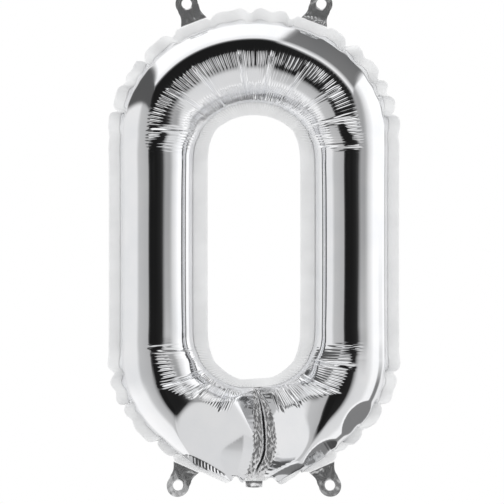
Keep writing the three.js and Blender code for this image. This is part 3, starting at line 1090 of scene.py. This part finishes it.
# What lies behind the balloon; on the right its dark part reaches further round.
BEHIND = ((140, 0.75), (148, 0.45), (156, 0.4), (161, 0.03), (180, DARK))
RIGHT_BEHIND = ((140, 0.7), (143, 0.6), (149, 0.03), (180, DARK))
LEFT_SIDE = ((0, DARK), (19, DARK), (23, 0.06), (26, 0.47), (56, 0.55), (66, 0.86), (118, 0.86))
SECTORS = (
    ((-158, 5), (-104, 1.5),
     ((0, DARK), (19, DARK), (24, 0.3), (30, 0.5), (50, 0.6), (62, 0.95), (120, 1.05))),
    ((-107, 1.5), (-60, 1.5),
     ((0, DARK), (18, 0.02), (24, 0.4), (30, 0.68), (36, 0.74), (92, 0.74), (98, 0.24), (106, 0.2),
      (111, 0.07), (118, 0.07), (124, 0.8))),
    ((-62, 1.5), (0, 1.5),
     ((0, DARK), (18, 0.02), (24, 0.4), (30, 0.68), (36, 0.74), (62, 0.78), (76, 1.0), (94, 1.0),
      (99, 0.24), (112, 0.22), (118, 0.85), (128, 0.9))),
    ((-8, 10), (41, 1.5),
     ((0, DARK), (12, 0.02), (20, 0.05), (25, 0.25), (30, 0.38), (42, 0.38), (48, 0.5), (54, 0.72),
      (62, 0.88), (74, WHITE), (126, WHITE), (133, 0.3))),
    ((41, 1.5), (74, 1.5),
     ((0, DARK), (22, 0.02), (27, 0.25), (33, 0.95), (40, 0.7), (49, 0.2), (130, 0.16), (138, 0.6))),
    ((75, 1.5), (134, 1.5),
     ((0, DARK), (23, DARK), (28, 0.05), (33, 0.3), (37, 0.9), (60, WHITE), (124, WHITE))),
    ((134, 1.5), (164, 1.5), ((0, DARK), (22, 0.02), (28, 0.1), (126, 0.1), (134, 0.8))),
)


def studio_ramp(tree, angle, stops, behind=BEHIND):
    ramp = add_ramp(tree, angle, [(a / 180, (v, v, v)) for a, v in stops + behind])
    return ramp.outputs["Color"]


def math_node(tree, operation, *sources):
    node = tree.nodes.new("ShaderNodeMath")
    node.operation = operation
    for index, source in enumerate(sources):
        if isinstance(source, (int, float)):
            node.inputs[index].default_value = source
        else:
            tree.links.new(source, node.inputs[index])
    return node.outputs[0]


def mix_node(tree, factor, first, second):
    mix = tree.nodes.new("ShaderNodeMixRGB")
    tree.links.new(factor, mix.inputs[0])
    for socket, source in ((mix.inputs[1], first), (mix.inputs[2], second)):
        if isinstance(source, tuple):
            socket.default_value = source
        else:
            tree.links.new(source, socket)
    return mix.outputs[0]


def make_light():
    """Soft white studio with a dark gap in front, one behind, and gaps between the lights."""
    world = bpy.data.worlds.new("studio")
    bpy.context.scene.world = world
    world.use_nodes = True
    tree = world.node_tree
    tree.nodes.clear()
    output = tree.nodes.new("ShaderNodeOutputWorld")
    sky = tree.nodes.new("ShaderNodeBackground")
    place = tree.nodes.new("ShaderNodeTexCoord")
    split = tree.nodes.new("ShaderNodeSeparateXYZ")
    tree.links.new(place.outputs["Generated"], split.inputs[0])
    x, y, z = split.outputs
    forward = math_node(tree, "MULTIPLY", y, -1.0)
    away = math_node(tree, "DIVIDE", math_node(tree, "ARCCOSINE", forward), math.pi)
    turn = math_node(tree, "MULTIPLY_ADD", math_node(tree, "ARCTAN2", z, x), 0.5 / math.pi, 0.5)
    colour = studio_ramp(tree, away, LEFT_SIDE)
    for (low, low_blur), (high, high_blur), stops in SECTORS:
        edges = ((low - low_blur, 0), (low + low_blur, 1),
                 (high - high_blur, 1), (high + high_blur, 0))
        share = add_ramp(tree, turn, [((a + 180) / 360, (v, v, v)) for a, v in edges])
        behind = RIGHT_BEHIND if low < 0 < high else BEHIND
        sector = studio_ramp(tree, away, stops, behind)
        colour = mix_node(tree, share.outputs["Color"], colour, sector)
    ray = tree.nodes.new("ShaderNodeLightPath")
    colour = mix_node(tree, ray.outputs["Is Diffuse Ray"], colour, (SOFT, SOFT, SOFT, 1))
    colour = mix_node(tree, ray.outputs["Is Camera Ray"], colour, (1, 1, 1, 1))
    tree.links.new(colour, sky.inputs["Color"])
    tree.links.new(sky.outputs[0], output.inputs[0])
    bpy.context.scene.view_settings.view_transform = "Standard"


# ------------------------ build

make_camera()
make_floor()
make_light()

tube, outer_grid, inner_grid = blow_up()
outer_line, inner_line = (refine_lap(upright(blown_lines[name])[None])[0] for name in ("outer", "inner"))
back_order = [0] + list(range(2 * ROWS - 1, ROWS - 1, -1))
front_sheet = fine_sheet(-1, tube[:ROWS + 1], outer_line, inner_line)
back_sheet = fine_sheet(1, tube[back_order], outer_line, inner_line)
front_sheet = pucker_crease(pleat(front_sheet, SEED))
back_sheet = pleat(back_sheet[:, ::-1], SEED + 1)[:, ::-1]
outer_fine = refine_rows(refine_lap(outer_grid), FINE_FLANGE)
inner_fine = wrinkle_flange(refine_rows(refine_lap(inner_grid), FINE_FLANGE), SEED)

to_seam = 1 - row_places()[:, None]
from_seam = np.linspace(0, 1, FINE_FLANGE + 1)[:, None]
front_sheet = drop_bottom(front_sheet, to_seam, *SEAM_DROP)
back_sheet = drop_bottom(back_sheet, to_seam, *SEAM_DROP)
outer_fine = drop_bottom(outer_fine, 1 - from_seam, *SEAM_DROP)
inner_fine = drop_bottom(inner_fine, from_seam, *HOLE_DROP)

add_lap("front_film", front_sheet, True, FOIL, "front_foil")
add_lap("back_film", back_sheet, False, FOIL, "back_foil")
add_lap("outer_flange", outer_fine, False, WELD, "outer_seam", FLANGE_THICKNESS)
add_lap("inner_flange", inner_fine, False, WELD, "inner_seam", FLANGE_THICKNESS)
make_strip()
for tab in TAB_FORMS:
    make_tab(tab)
make_lip("mouth_front_flap", -1)
make_lip("mouth_back_flap", 1)

for node in ("valve_front_film", "valve_back_film"):
    for part_slot in frame["nodes"][node].material_slots:
        part_slot.material = VALVE
